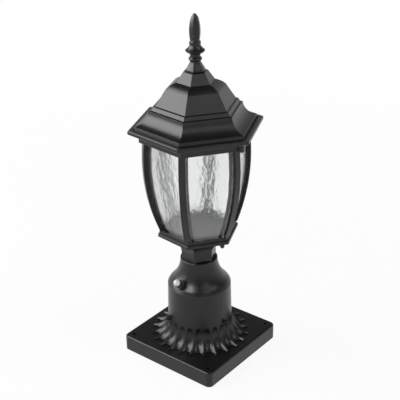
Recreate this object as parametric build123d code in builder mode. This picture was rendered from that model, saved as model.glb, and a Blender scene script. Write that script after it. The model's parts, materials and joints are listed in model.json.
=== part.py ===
from build123d import *
from math import cos, pi, radians, sin, sqrt, tan
import os

os.makedirs("parts", exist_ok=True)

# A hexagonal post top lantern with bowed panes, standing on a square pier base.
# Millimetres, +Z up, the origin at the middle of the base plate's underside.
# Half widths named "flat" run from the axis to the middle of a side of the hexagon;
# the ones named "corner" run from the axis to a corner.

SIDES = 6
FLAT = cos(radians(180 / SIDES))     # flat half width of a hexagon of corner half width 1

# ---- driving dimensions ----------------------------------------------------------------

# base plate
base_side = 150.0
base_height = 21.4
base_corner = 7.0
base_edge = 2.6
base_wall = 4.0
base_deck = 5.0
anchor_spacing = 129.0
anchor_hole = 5.2
anchor_boss = 14.0
wire_hole = 44.0
rib_thickness = 3.0
rib_drop = 4.0
rib_clearance = 2.0          # of the ribs round the wire hole
screw_trio = 3               # screws on a round flange or plate

# stub tube that the fitter turns on
stub_diameter = 76.2
stub_wall = 2.6
stub_length = 74.6
stub_flange_thickness = 5.0
stub_screw_circle_diameter = 60.0
stub_screw_turn = 45.0       # degrees from +X to the first, clear of the ribs
stub_screw_diameter = 4.0
stub_screw_head = 7.6
stub_screw_head_height = 2.6
stub_screw_length = 8.5

# fitter: cylinder, bell and fluted skirt
turning_gap = 0.4            # between the stub and the fitter's bore
seat_gap = 0.3               # between parts that rest on each other but move apart
fitter_wall = 5.2            # at the cylinder's foot
fitter_draft = 1.1           # that the cylinder loses up to its shoulder
neck_radius = 24.8
neck_height = 42.0           # of the neck's rim above the stub's end
neck_edge = 0.6
neck_web = 6.0
bell_hollow_radius = 44.0
bell_hollow_turn = 46.0
bell_round_radius = 18.0
bell_round_turn = 22.0
bell_cavity_radius = 34.0
bell_wall = 3.9
bell_narrowing_start = 11.0  # of the cavity's narrow end below the neck's rim
skirt_gap = 0.5              # shadow gap over the base plate
skirt_radius = 66.2
skirt_tip = 1.6
flute_count = 24
flute_turn = 11.9            # degrees from the lantern's first corner to the first flute
flute_ridge = 1.8            # width left between two flutes at the skirt's edge
flute_depth = 3.6
flute_drop = 2.5             # centre of the flutes' curve below that of the flare
skirt_hollow_wall = 2.2      # metal left behind the flutes
skirt_hollow_drop = 3.9      # of the hollow's top below the centre of its curve

# set screws through the fitter's wall
set_screw_count = 3
set_screw_turn = 5.0         # degrees past a corner of the lantern
set_screw_height = 29.5      # above the base plate
set_screw_diameter = 6.0
set_screw_stand_out = 6.0
set_screw_socket = 3.0
set_screw_socket_depth = 3.0
screw_chamfer = 0.6
screw_gap = 0.15             # round a screw's shank
tip_gap = 0.2                # before a screw's point

# dusk sensor on the bell
cell_turn = -86.7            # degrees round the axis from the lantern's first corner
cell_tilt = 37.0             # degrees above level
cell_drop = 28.9             # of its seat below the neck's rim
cell_seat_depth = 1.0
cell_flange_diameter = 16.0
cell_flange_thickness = 2.2
cell_rib_count = 2
cell_rib_diameter = 14.4
cell_rib_thickness = 1.7
cell_groove_diameter = 11.6
cell_groove_width = 1.1
cell_nose_diameter = 11.0
cell_nose_length = 3.5
cell_lens_diameter = 8.7
cell_lens_socket = 1.2
cell_lens_collar = 2.6       # of the lens, below its dome
cell_lens_dome = 3.2
cell_wall = 2.4              # metal left between its seat and its nut
cell_pad_start = 0.7         # of the pad behind the seat, below the seat
cell_thread_diameter = 12.0
cell_thread_length = 8.6
cell_nut_flats = 17.0
cell_nut_thickness = 3.0
cell_body_diameter = 9.0
cell_body_length = 6.0

# hollow stem that ties the pan to the fitter
stem_diameter = 10.0
stem_bore = 6.0
stem_nut_flats = 14.0
stem_nut_thickness = 4.0
stem_stand_out = 2.0

# the lantern's turn on its post, and the pan with its hexagonal cup
head_turn = -6.25            # degrees from +X to the first corner
cup_corner = 23.5
cup_floor = 4.0
cup_height = 8.0
pan_wall = 3.0
pan_flare_radius = 33.0
pan_flare_turn = 60.0
pan_step = 0.5               # crease between the flare and the rim's underside
rim_height = 4.5
rim_step = 1.8               # of the rim beyond the bottom rail
rim_edge = 0.5
diffuser_inset = 1.2         # of the diffuser's edge inside the rail's lip
diffuser_thickness = 2.4
fit_gap = 0.3                # round plates that drop into a rebate

# studs with cap nuts that hold the cage on the pan
pan_nut_turns = (0, 180)     # of the corners that they stand beside
pan_nut_aside = 19.9         # from the middle of the side
pan_stud_diameter = 3.0
pan_washer_diameter = 6.4
pan_washer_thickness = 0.8
pan_nut_flats = 5.5
pan_nut_hexagon_height = 2.8
pan_nut_dome_height = 2.7

# lamp module in the pan
carrier_seat_drop = 9.1      # of the module's seat below the rim's top
carrier_radius = 29.0
carrier_thickness = 1.5
carrier_boss_diameter = 6.0
carrier_boss_depth = 3.0
carrier_screw_circle_diameter = 50.4
carrier_screw_diameter = 2.5
carrier_screw_head = 4.4
carrier_screw_head_height = 1.4
carrier_screw_depth = 2.3
board_radius = 22.5
board_thickness = 1.2
chip_count = 12
chip_circle_diameter = 35.0
chip_side = 3.0
chip_height = 0.8
driver_length = 30.0
driver_width = 20.0
driver_height = 11.0
driver_edge = 1.5

# cage: bottom rail, posts, panes and top frame
rail_height = 4.9
rail_floor = 1.8
rail_lip = 2.3
rail_depth = 5.0             # of its floor inside the lip
bow_height = 101.4           # of the bow's widest level above the rim's top
bow_corner = 70.8
bow_radius = 260.0
post_bar_width = 9.0
post_bar_thickness = 2.6
post_bar_edge = 0.8
post_web_thickness = 4.6
post_wing_reach = 4.4
post_wing_thickness = 2.0
post_screw_diameter = 2.5
post_screw_head = 4.4
post_screw_head_height = 1.4
post_screw_depth = 9.0
post_screw_inset = 0.6       # of the top screws' axes beyond the corner of the wings
post_foot_screw_inset = 2.45 # of the bottom ones
pane_thickness = 3.0
pane_gap = 0.35
pane_side_gap = 0.7          # beside a post's web
pane_bite = 2.0              # of a pane's top edge into the top frame
cage_height = 130.7          # from the rim's top to the top frame's underside
frame_foot_corner = 74.4
frame_head_corner = 79.0
frame_height = 11.9
frame_foot_rise = 3.4
frame_opening_flat = 50.0
frame_shelf_height = 5.7
frame_wall_flat = 62.8
frame_gutter_flat = 59.2
frame_gutter_floor = 2.5

# roof, its screws and the finial
lip_corner = 88.2
lip_height = 5.2
lip_edge = 0.8
lip_groove_width = 1.8       # at the foot of the strip round the roof
lip_groove_depth = 1.2
roof_wall = 3.0
roof_spigot_wall = 2.8
roof_spigot_gap = 0.4        # between the spigot and the top frame's wall
roof_boss_corner = 75.4      # of the axis of the round bosses at two corners of the frame
roof_boss_diameter = 8.0
roof_screw_turns = (0, 180)
roof_screw_diameter = 3.0
roof_screw_head = 5.4
roof_screw_head_height = 2.0
roof_screw_bite = 6.0        # into the roof
roof_screw_slot = 0.8
finial_washer_corner = 11.2
finial_washer_thickness = 1.2
finial_stud_diameter = 6.0
finial_stud_length = 18.0
finial_stud_end = 1.5        # of the stud past its nut
finial_nut_flats = 10.0
finial_nut_thickness = 5.0
thread_gap = 0.05            # round the stud in its nut, where it turns

# leads inside
lead_diameter = 2.6
lead_turns = 4               # equal turns from the sensor's slant to upright
lead_bend = 0.45              # share of a run that the arc at its end takes
connector_length = 7.0
connector_width = 5.0
connector_rise = 1.8         # above the board

# Section of the roof outside, from its flat top down: corner half width and height above
# the lip's underside.
roof_top = (15.8, 73.6)
roof_cap_foot = (24.7, 61.0)
roof_shoulder_middle = (32.4, 58.0)
roof_shoulder_foot = (38.6, 53.4)
roof_slope_foot = (51.9, 33.3)
roof_ledge_end = (54.9, 32.8)
roof_band_foot = (57.4, 28.5)
roof_cove_top = (60.6, 27.9)
roof_cove_middle = (66.9, 15.6)
roof_cove_foot = (79.2, 9.3)
roof_strip_foot = (80.3, 5.2)

# Section of the finial, from its foot up: corner half width and height above its washer.
finial_foot = (12.6, 1.2)
finial_flare_middle = (10.0, 5.4)
finial_waist = (6.9, 11.0)
finial_waist_end = (6.9, 12.0)
finial_bead = (8.7, 14.3)
finial_neck = (6.4, 16.8)
finial_neck_end = (7.2, 21.2)
finial_collar_under = (10.2, 22.3)
finial_collar_foot = (12.5, 24.1)
finial_collar_edge = (12.6, 25.4)
finial_collar_middle = (9.4, 28.0)
finial_collar_head = (7.0, 31.4)
finial_ring_foot = (7.5, 32.2)
finial_ring_head = (7.5, 35.6)
finial_bud_foot = (6.1, 37.0)
finial_bud_widest = (7.2, 51.0)
finial_bud_shoulder = (4.8, 65.0)
finial_tip = (1.8, 69.5)

# ---- levels and widths worked out from them ------------------------------------------------

stub_top = base_height + stub_length
neck_top = stub_top + neck_height
flare_top = neck_top + cup_height + pan_flare_radius * sin(radians(pan_flare_turn))
pan_under = flare_top + pan_step
rim_top = pan_under + rim_height
rail_top = rim_top + rail_height
rail_seat = rim_top + rail_floor
bow_level = rim_top + bow_height
cage_top = rim_top + cage_height
frame_top = cage_top + frame_height
roof_crown = frame_top + roof_top[1]
washer_top = roof_crown + finial_washer_thickness
skirt_foot = base_height + skirt_gap

stub_radius = stub_diameter / 2
stub_bore = stub_radius - stub_wall
fitter_bore = stub_radius + turning_gap
pane_bow = bow_radius / FLAT
pane_face = (bow_corner - post_bar_thickness - pane_gap) * FLAT
pane_back = pane_face - pane_thickness
wing_face = pane_back - pane_gap
pane_margin = post_web_thickness / 2 + pane_side_gap
fitter_foot = fitter_bore + fitter_wall
carrier_seat = rim_top - carrier_seat_drop
far = base_side                      # well outside the part, for cutting tools


# ---- helpers ---------------------------------------------------------------------------------

def heading(turn):
    """Unit vector that points away from the axis, turned from the lantern's first corner."""
    angle = radians(head_turn + turn)
    return Vector(cos(angle), sin(angle), 0)


def upright(turn):
    """Vertical plane through the axis: its x points outward at that turn, its y up."""
    outward = heading(turn)
    return Plane(origin=(0, 0, 0), x_dir=outward, z_dir=outward.cross(Vector(0, 0, 1)))


def level(height):
    """Horizontal plane whose x points at the lantern's first corner."""
    return Plane(origin=(0, 0, height), x_dir=heading(0), z_dir=(0, 0, 1))


def facing(turn, height):
    """Vertical plane square to a heading: its z points outward, its y up."""
    outward = heading(turn)
    return Plane(origin=(0, 0, height), x_dir=Vector(0, 0, 1).cross(outward), z_dir=outward)


def hexagon_side(section, margin=0.0):
    """One of six mitred sides, between the first two corners, from its half section.

    The section is drawn with x as the flat half width and y as the height. The side stops
    short of the corners' planes by the margin.
    """
    half_turn = 180 / SIDES
    apex = Vector(margin / sin(radians(half_turn)), 0).rotate(Axis.Z, half_turn)
    with BuildPart() as side:
        with BuildSketch(upright(half_turn)):
            add(section)
        extrude(amount=far, both=True)
        with BuildSketch(level(0)):
            with BuildLine():
                Polyline(
                    apex,
                    apex + Vector(2 * far, 0),
                    apex + Vector(2 * far, 0).rotate(Axis.Z, 2 * half_turn),
                    close=True,
                )
            make_face()
        extrude(amount=4 * far, mode=Mode.INTERSECT)
    return side.part


def hexagon_ring(section):
    """A closed hexagonal form from its half section."""
    side = hexagon_side(section)
    with BuildPart() as ring:
        with PolarLocations(0, SIDES):
            add(side)
    return ring.part


def bow_point(widest, radius, height):
    """Point on a bowed line whose widest place is at the bow's level."""
    return (widest - radius + sqrt(radius ** 2 - (height - bow_level) ** 2), height)


def bow_section(widest, radius, thickness, low, high):
    """Section of a bowed band between two heights, its outer face at the widest half width."""
    with BuildSketch() as band:
        with BuildLine():
            outer = ThreePointArc(
                bow_point(widest, radius, low),
                bow_point(widest, radius, (low + high) / 2),
                bow_point(widest, radius, high),
            )
            inner = ThreePointArc(
                bow_point(widest - thickness, radius - thickness, high),
                bow_point(widest - thickness, radius - thickness, (low + high) / 2),
                bow_point(widest - thickness, radius - thickness, low),
            )
            Line(outer @ 1, inner @ 0)
            Line(inner @ 1, outer @ 0)
        make_face()
    return band.sketch


def turned(solid, turn):
    """A copy of a solid, turned round the lantern's axis."""
    return solid.rotate(Axis.Z, turn)


def hexagon_corner(section, reach):
    """Stretch of a hexagonal form on both sides of the first corner, from its half section."""
    side = hexagon_side(section)
    with BuildPart() as corner:
        add(side)
        add(turned(side, -360 / SIDES))
        with BuildSketch(level(0)):
            with Locations((far, 0)):
                Rectangle(2 * far, 2 * reach)
        extrude(amount=4 * far, mode=Mode.INTERSECT)
    return corner.part


# ---- base plate ------------------------------------------------------------------------------

deck_under = base_height - base_deck
cavity_side = base_side - 2 * base_wall
stub_screw_ring = stub_screw_circle_diameter / 2

with BuildPart() as base_plate:
    with BuildSketch():
        RectangleRounded(base_side, base_side, base_corner)
    extrude(amount=base_height)
    fillet(base_plate.faces().sort_by(Axis.Z)[-1].edges(), radius=base_edge)
    with BuildSketch():
        RectangleRounded(cavity_side, cavity_side, base_corner - base_wall)
    extrude(amount=deck_under, mode=Mode.SUBTRACT)
    with BuildSketch(Plane.XY.offset(deck_under)):
        Rectangle(cavity_side, rib_thickness)
        Rectangle(rib_thickness, cavity_side)
        Circle(wire_hole / 2 + rib_clearance, mode=Mode.SUBTRACT)
    extrude(amount=-rib_drop)
    with BuildSketch():
        with GridLocations(anchor_spacing, anchor_spacing, 2, 2):
            Circle(anchor_boss / 2)
    extrude(amount=deck_under)
    with BuildSketch():
        RectangleRounded(base_side, base_side, base_corner)
    extrude(amount=base_height, mode=Mode.INTERSECT)
    with BuildSketch():
        Circle(wire_hole / 2)
        with GridLocations(anchor_spacing, anchor_spacing, 2, 2):
            Circle(anchor_hole / 2)
        with PolarLocations(stub_screw_ring, screw_trio, start_angle=stub_screw_turn):
            Circle(stub_screw_diameter / 2 + screw_gap)
    extrude(amount=base_height, mode=Mode.SUBTRACT)
base_plate.part.label = "base_plate"
export_step(base_plate.part, "parts/base_plate.step")

# ---- stub: tube, flange and screws ---------------------------------------------------------

with BuildPart() as stub_tube:
    with BuildSketch(Plane.XY.offset(base_height)):
        Circle(stub_radius)
        Circle(stub_bore, mode=Mode.SUBTRACT)
    extrude(amount=stub_length)
stub_tube.part.label = "stub_tube"
export_step(stub_tube.part, "parts/stub_tube.step")

with BuildPart() as stub_flange:
    with BuildSketch(Plane.XY.offset(base_height)):
        Circle(stub_bore)
        Circle(wire_hole / 2, mode=Mode.SUBTRACT)
        with PolarLocations(stub_screw_ring, screw_trio, start_angle=stub_screw_turn):
            Circle(stub_screw_diameter / 2, mode=Mode.SUBTRACT)
    extrude(amount=stub_flange_thickness)
stub_flange.part.label = "stub_flange"
export_step(stub_flange.part, "parts/stub_flange.step")

with BuildPart() as stub_screws:
    with BuildSketch(Plane.XY.offset(deck_under)):
        with PolarLocations(stub_screw_ring, screw_trio, start_angle=stub_screw_turn):
            Circle(stub_screw_head / 2)
    extrude(amount=-stub_screw_head_height)
    with BuildSketch(Plane.XY.offset(deck_under)):
        with PolarLocations(stub_screw_ring, screw_trio, start_angle=stub_screw_turn):
            Circle(stub_screw_diameter / 2)
    extrude(amount=stub_screw_length)
stub_screws.part.label = "stub_screws"
export_step(stub_screws.part, "parts/stub_screws.step")

# ---- fitter ----------------------------------------------------------------------------------

ledge = stub_top + seat_gap
flare_radius = skirt_radius - fitter_foot
flare_centre = (skirt_radius, skirt_foot + skirt_tip + flare_radius)
flute_centre = (skirt_radius, flare_centre[1] - flute_drop)
flute_valley = flare_radius + flute_depth - flute_drop
flute_chord = 2 * pi * skirt_radius / flute_count - flute_ridge
flute_radius = (flute_chord ** 2 / 4 + flute_depth ** 2) / (2 * flute_depth)
flute_path = flute_valley - flute_radius
hollow_arc = flute_valley + skirt_hollow_wall
hollow_wall = skirt_radius - sqrt(hollow_arc ** 2 - skirt_hollow_drop ** 2)
hollow_crown = flute_centre[1] - skirt_hollow_drop
hollow_mouth = skirt_radius - sqrt(hollow_arc ** 2 - (flute_centre[1] - skirt_foot) ** 2)
hollow_middle = (hollow_mouth + hollow_wall) / 2
set_screw_level = base_height + set_screw_height

with BuildSketch() as fitter_section:
    with BuildLine():
        rim = Polyline(
            (0, neck_top - neck_web),
            (0, neck_top),
            (neck_radius - neck_edge, neck_top),
            (neck_radius, neck_top - neck_edge),
        )
        hollow = JernArc(rim @ 1, (0, -1), bell_hollow_radius, bell_hollow_turn)
        rounded = JernArc(hollow @ 1, hollow % 1, bell_round_radius, -bell_round_turn)
        cylinder = Polyline(
            rounded @ 1,
            (fitter_foot - fitter_draft, (rounded @ 1).Y - neck_edge),
            (fitter_foot, flare_centre[1]),
        )
        flare = JernArc(cylinder @ 1, (0, -1), flare_radius, 90)
        foot = Polyline(flare @ 1, (skirt_radius, skirt_foot), (hollow_mouth, skirt_foot))
        under = ThreePointArc(
            foot @ 1,
            (
                hollow_middle,
                flute_centre[1] - sqrt(hollow_arc ** 2 - (skirt_radius - hollow_middle) ** 2),
            ),
            (hollow_wall, hollow_crown),
        )
        Polyline(
            under @ 1,
            (hollow_wall, skirt_foot),
            (fitter_bore, skirt_foot),
            (fitter_bore, ledge),
            (bell_cavity_radius, ledge),
            (bell_cavity_radius, (hollow @ 1).Y),
            (neck_radius - bell_wall, neck_top - bell_narrowing_start),
            (neck_radius - bell_wall, neck_top - neck_web),
            (0, neck_top - neck_web),
        )
    make_face()

with BuildPart() as flute:
    with BuildSketch(Plane.XY.offset(flute_centre[1])):
        with Locations((skirt_radius - flute_path, 0)):
            Circle(flute_radius)
    revolve(axis=Axis((skirt_radius, 0, flute_centre[1]), (0, 1, 0)))
    with BuildSketch():
        with BuildLine():
            Polyline(
                (0, 0),
                Vector(2 * far, 0).rotate(Axis.Z, 180 / flute_count),
                Vector(2 * far, 0).rotate(Axis.Z, -180 / flute_count),
                close=True,
            )
        make_face()
    extrude(amount=2 * far, mode=Mode.INTERSECT)

# the sensor's seat: a spot face square to its slanted axis, sunk in the bell
cell_fall = cell_drop - neck_edge
cell_radius = neck_radius + bell_hollow_radius - sqrt(bell_hollow_radius ** 2 - cell_fall ** 2)
cell_axis = heading(cell_turn) * cos(radians(cell_tilt)) + Vector(0, 0, sin(radians(cell_tilt)))
cell_point = heading(cell_turn) * cell_radius + Vector(0, 0, neck_top - cell_drop)
cell_seat = Plane(
    origin=cell_point - cell_axis * cell_seat_depth,
    x_dir=Vector(0, 0, 1).cross(heading(cell_turn)),
    z_dir=cell_axis,
)
cell_nut_radius = cell_nut_flats / 2 / FLAT + fit_gap

with BuildPart() as fitter:
    with BuildSketch(upright(0)):
        add(fitter_section.sketch)
    revolve(axis=Axis.Z)
    with PolarLocations(0, flute_count, start_angle=head_turn + flute_turn):
        add(flute.part, mode=Mode.SUBTRACT)
    with BuildSketch(cell_seat.offset(-cell_pad_start)):
        Circle(cell_nut_radius)
    extrude(amount=cell_pad_start - cell_wall)
    with BuildSketch(cell_seat):
        Circle(cell_flange_diameter / 2 + screw_gap)
    extrude(amount=cell_flange_diameter / 2, mode=Mode.SUBTRACT)
    with BuildSketch(cell_seat.offset(-cell_wall)):
        Circle(cell_nut_radius)
    extrude(amount=-cell_nut_thickness - seat_gap, mode=Mode.SUBTRACT)
    with BuildSketch(cell_seat):
        Circle(cell_thread_diameter / 2 + screw_gap)
    extrude(amount=-cell_nut_radius, mode=Mode.SUBTRACT)
    for number in range(set_screw_count):
        with BuildSketch(facing(set_screw_turn + number * 360 / set_screw_count, set_screw_level)):
            Circle(set_screw_diameter / 2 + screw_gap)
        extrude(amount=skirt_radius, mode=Mode.SUBTRACT)
    with BuildSketch(Plane.XY.offset(neck_top)):
        Circle(stem_diameter / 2 + screw_gap)
    extrude(amount=-neck_web, mode=Mode.SUBTRACT)
fitter.part.label = "fitter"
export_step(fitter.part, "parts/fitter.step")

# ---- set screws --------------------------------------------------------------------------------

screw_tip = stub_radius + tip_gap
screw_end = fitter_foot + set_screw_stand_out

with BuildPart() as set_screw:
    with BuildSketch(facing(0, set_screw_level).offset(screw_tip)):
        Circle(set_screw_diameter / 2)
    extrude(amount=screw_end - screw_tip)
    chamfer(set_screw.edges(), length=screw_chamfer)
    with BuildSketch(facing(0, set_screw_level).offset(screw_end)):
        RegularPolygon(set_screw_socket / 2, SIDES, major_radius=False)
    extrude(amount=-set_screw_socket_depth, mode=Mode.SUBTRACT)

for number in range(set_screw_count):
    copy = turned(set_screw.part, set_screw_turn + number * 360 / set_screw_count)
    copy.label = f"set_screw_{number + 1}"
    export_step(copy, f"parts/set_screw_{number + 1}.step")

# ---- dusk sensor -------------------------------------------------------------------------------

cell_step = cell_groove_width + cell_rib_thickness
cell_nose_foot = cell_flange_thickness + cell_rib_count * cell_step
cell_nose_end = cell_nose_foot + cell_nose_length
cell_lens_foot = cell_nose_end - cell_lens_socket

with BuildPart() as photocell_barrel:
    with BuildSketch(cell_seat):
        Circle(cell_flange_diameter / 2)
    extrude(amount=cell_flange_thickness)
    with BuildSketch(cell_seat.offset(cell_flange_thickness)):
        Circle(cell_groove_diameter / 2)
    extrude(amount=cell_rib_count * cell_step)
    for number in range(cell_rib_count):
        rib_foot = cell_flange_thickness + cell_groove_width + number * cell_step
        with BuildSketch(cell_seat.offset(rib_foot)):
            Circle(cell_rib_diameter / 2)
        extrude(amount=cell_rib_thickness)
    with BuildSketch(cell_seat.offset(cell_nose_foot)):
        Circle(cell_nose_diameter / 2)
    extrude(amount=cell_nose_length)
    with BuildSketch(cell_seat.offset(cell_nose_end)):
        Circle(cell_lens_diameter / 2)
    extrude(amount=-cell_lens_socket, mode=Mode.SUBTRACT)
    with BuildSketch(cell_seat):
        Circle(cell_thread_diameter / 2)
    extrude(amount=-cell_thread_length)
photocell_barrel.part.label = "photocell_barrel"
export_step(photocell_barrel.part, "parts/photocell_barrel.step")

lens_radius = cell_lens_diameter / 2
dome_radius = (lens_radius ** 2 + cell_lens_dome ** 2) / (2 * cell_lens_dome)
dome_centre = cell_nose_end + cell_lens_collar + cell_lens_dome - dome_radius
cell_upright = Plane(origin=cell_seat.origin, x_dir=cell_seat.x_dir, z_dir=-cell_seat.y_dir)

with BuildPart() as photocell_lens:
    with BuildSketch(cell_upright):
        with BuildLine():
            lens_side = Polyline(
                (0, cell_lens_foot),
                (lens_radius, cell_lens_foot),
                (lens_radius, cell_nose_end + cell_lens_collar),
            )
            dome = ThreePointArc(
                lens_side @ 1,
                (lens_radius / 2, dome_centre + sqrt(dome_radius ** 2 - (lens_radius / 2) ** 2)),
                (0, dome_centre + dome_radius),
            )
            Line(dome @ 1, lens_side @ 0)
        make_face()
    revolve(axis=Axis(cell_seat.origin, cell_axis))
photocell_lens.part.label = "photocell_lens"
export_step(photocell_lens.part, "parts/photocell_lens.step")

with BuildPart() as photocell_nut:
    with BuildSketch(cell_seat.offset(-cell_wall)):
        RegularPolygon(cell_nut_flats / 2, SIDES, major_radius=False)
        Circle(cell_thread_diameter / 2, mode=Mode.SUBTRACT)
    extrude(amount=-cell_nut_thickness)
photocell_nut.part.label = "photocell_nut"
export_step(photocell_nut.part, "parts/photocell_nut.step")

with BuildPart() as photocell_body:
    with BuildSketch(cell_seat.offset(-cell_thread_length)):
        Circle(cell_body_diameter / 2)
    extrude(amount=-cell_body_length)
    fillet(photocell_body.edges().sort_by(Axis.Z)[0], radius=screw_chamfer)
photocell_body.part.label = "photocell_body"
export_step(photocell_body.part, "parts/photocell_body.step")

# the sensor's lead: out of its body, round below the bell and up through the stem to the driver
lead_start = cell_seat.offset(-cell_thread_length - cell_body_length).origin
lead_slant = 180 + cell_tilt
lead_swing = (lead_slant - 90) / lead_turns
lead_slants = [radians(lead_slant - number * lead_swing) for number in range(lead_turns)]
lead_reach = -sum(cos(slant) for slant in lead_slants)
lead_run = sqrt(lead_start.X ** 2 + lead_start.Y ** 2) / lead_reach
lead_radius = lead_bend * lead_run / tan(radians(lead_swing / 2))
lead_points = [lead_start]
for slant in lead_slants:
    step = heading(cell_turn) * cos(slant) + Vector(0, 0, sin(slant))
    lead_points.append(lead_points[-1] + step * lead_run)
lead_points.append(Vector(0, 0, carrier_seat - driver_height))

with BuildPart() as photocell_lead:
    with BuildLine() as lead_route:
        FilletPolyline(*lead_points, radius=[lead_radius] * lead_turns)
    with BuildSketch(Plane(origin=lead_start, z_dir=lead_route.line % 0)):
        Circle(lead_diameter / 2)
    sweep(path=lead_route.line)
photocell_lead.part.label = "photocell_lead"
export_step(photocell_lead.part, "parts/photocell_lead.step")

lead_length = sum(edge.length for edge in lead_route.line.edges())
lead_volume = pi * (lead_diameter / 2) ** 2 * lead_length
print("lead: arcs of radius", round(lead_radius, 1), "mm, length", round(lead_length, 1), "mm,")
print("volume over section times length", round(photocell_lead.part.volume / lead_volume, 4))

# ---- stem and its nuts ------------------------------------------------------------------------

web_under = neck_top - neck_web
floor_top = neck_top + cup_floor
stem_foot = web_under - stem_nut_thickness - stem_stand_out
stem_head = floor_top + stem_nut_thickness + stem_stand_out

with BuildPart() as stem:
    with BuildSketch(Plane.XY.offset(stem_foot)):
        Circle(stem_diameter / 2)
        Circle(stem_bore / 2, mode=Mode.SUBTRACT)
    extrude(amount=stem_head - stem_foot)
stem.part.label = "stem"
export_step(stem.part, "parts/stem.step")

with BuildPart() as stem_nuts:
    for foot_level in (web_under - stem_nut_thickness, floor_top):
        with BuildSketch(Plane.XY.offset(foot_level)):
            RegularPolygon(stem_nut_flats / 2, SIDES, major_radius=False)
            Circle(stem_diameter / 2, mode=Mode.SUBTRACT)
        extrude(amount=stem_nut_thickness)
stem_nuts.part.label = "stem_nuts"
export_step(stem_nuts.part, "parts/stem_nuts.step")

# ---- lantern pan -------------------------------------------------------------------------------

cup_flat = cup_corner * FLAT
diffuser_foot = rim_top - diffuser_thickness
rail_inside = bow_point(pane_face, pane_bow, rail_top)[0] + pane_gap
rail_flat = rail_inside + rail_lip
rim_flat = rail_flat + rim_step
diffuser_radius = rail_inside - diffuser_inset
post_foot = bow_point(wing_face / FLAT, bow_radius, rail_seat)[0] + post_foot_screw_inset
beside_corner = Vector(rail_inside, pan_nut_aside).rotate(Axis.Z, -180 / SIDES)
pan_nut_places = [beside_corner.rotate(Axis.Z, turn) for turn in pan_nut_turns]

with BuildSketch() as pan_outside:
    with BuildLine():
        cup = Polyline((0, neck_top), (cup_flat, neck_top), (cup_flat, neck_top + cup_height))
        pan_flare = JernArc(cup @ 1, (0, 1), pan_flare_radius, -pan_flare_turn)
        Polyline(
            pan_flare @ 1,
            ((pan_flare @ 1).X, pan_under),
            (rim_flat - rim_edge, pan_under),
            (rim_flat, pan_under + rim_edge),
            (rim_flat, rim_top - rim_edge),
            (rim_flat - rim_edge, rim_top),
            (0, rim_top),
            cup @ 0,
        )
    make_face()

with BuildSketch() as pan_inside:
    with BuildLine():
        cup_wall = Polyline(
            (0, floor_top), (cup_flat - pan_wall, floor_top), (cup_flat - pan_wall, neck_top + cup_height)
        )
        inner_flare = JernArc(cup_wall @ 1, (0, 1), pan_flare_radius + pan_wall, -pan_flare_turn)
        Polyline(
            inner_flare @ 1,
            ((inner_flare @ 1).X, rim_top),
            (0, rim_top),
            cup_wall @ 0,
        )
    make_face()

with BuildPart() as lantern_pan:
    add(hexagon_ring(pan_outside.sketch))
    add(hexagon_ring(pan_inside.sketch), mode=Mode.SUBTRACT)
    with BuildSketch(level(carrier_seat)):
        with PolarLocations(carrier_screw_circle_diameter / 2, screw_trio, start_angle=180 / SIDES):
            Circle(carrier_boss_diameter / 2)
    extrude(amount=-carrier_boss_depth)
    with BuildSketch(Plane.XY.offset(carrier_seat)):
        Circle(carrier_radius + fit_gap)
    extrude(amount=carrier_seat_drop, mode=Mode.SUBTRACT)
    with BuildSketch(Plane.XY.offset(diffuser_foot)):
        Circle(diffuser_radius + fit_gap)
    extrude(amount=diffuser_thickness, mode=Mode.SUBTRACT)
    with BuildSketch(Plane.XY.offset(neck_top)):
        Circle(stem_diameter / 2 + screw_gap)
    extrude(amount=cup_floor, mode=Mode.SUBTRACT)
    with BuildSketch(level(pan_under)):
        with Locations(*pan_nut_places):
            Circle(pan_stud_diameter / 2 + screw_gap)
    extrude(amount=rim_height, mode=Mode.SUBTRACT)
    with BuildSketch(level(rim_top)):
        with PolarLocations(post_foot, SIDES):
            Circle(post_screw_head / 2 + fit_gap)
    extrude(amount=-post_screw_head_height - screw_gap, mode=Mode.SUBTRACT)
    with BuildSketch(level(carrier_seat)):
        with PolarLocations(carrier_screw_circle_diameter / 2, screw_trio, start_angle=180 / SIDES):
            Circle(carrier_screw_diameter / 2)
    extrude(amount=-carrier_screw_depth, mode=Mode.SUBTRACT)
lantern_pan.part.label = "lantern_pan"
export_step(lantern_pan.part, "parts/lantern_pan.step")

# ---- studs and cap nuts under the pan -----------------------------------------------------------

washer_foot = pan_under - pan_washer_thickness
nut_hexagon_foot = washer_foot - pan_nut_hexagon_height
stud_length = rail_seat - nut_hexagon_foot
nut_dome_radius = pan_nut_flats / 2

with BuildPart() as pan_studs:
    with BuildSketch(level(rail_seat)):
        with Locations(*pan_nut_places):
            Circle(pan_stud_diameter / 2)
    extrude(amount=-stud_length)
pan_studs.part.label = "pan_studs"
export_step(pan_studs.part, "parts/pan_studs.step")

with BuildPart() as pan_washers:
    with BuildSketch(level(pan_under)):
        with Locations(*pan_nut_places):
            Circle(pan_washer_diameter / 2)
            Circle(pan_stud_diameter / 2, mode=Mode.SUBTRACT)
    extrude(amount=-pan_washer_thickness)
pan_washers.part.label = "pan_washers"
export_step(pan_washers.part, "parts/pan_washers.step")

with BuildSketch() as cap_section:
    with BuildLine():
        cap_side = Line((0, -pan_nut_dome_height), (0, 0))
        cap_top = Line(cap_side @ 1, (nut_dome_radius, 0))
        ThreePointArc(
            cap_top @ 1,
            (nut_dome_radius * sqrt(1 / 2), -pan_nut_dome_height * sqrt(1 / 2)),
            cap_side @ 0,
        )
    make_face()

with BuildPart() as cap_nut:
    with BuildSketch(Plane.XY):
        RegularPolygon(pan_nut_flats / 2, SIDES, major_radius=False)
    extrude(amount=pan_nut_hexagon_height)
    with BuildSketch(Plane.XZ):
        add(cap_section.sketch)
    revolve(axis=Axis.Z)
    with BuildSketch(Plane.XY):
        Circle(pan_stud_diameter / 2)
    extrude(amount=pan_nut_hexagon_height, mode=Mode.SUBTRACT)

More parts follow.
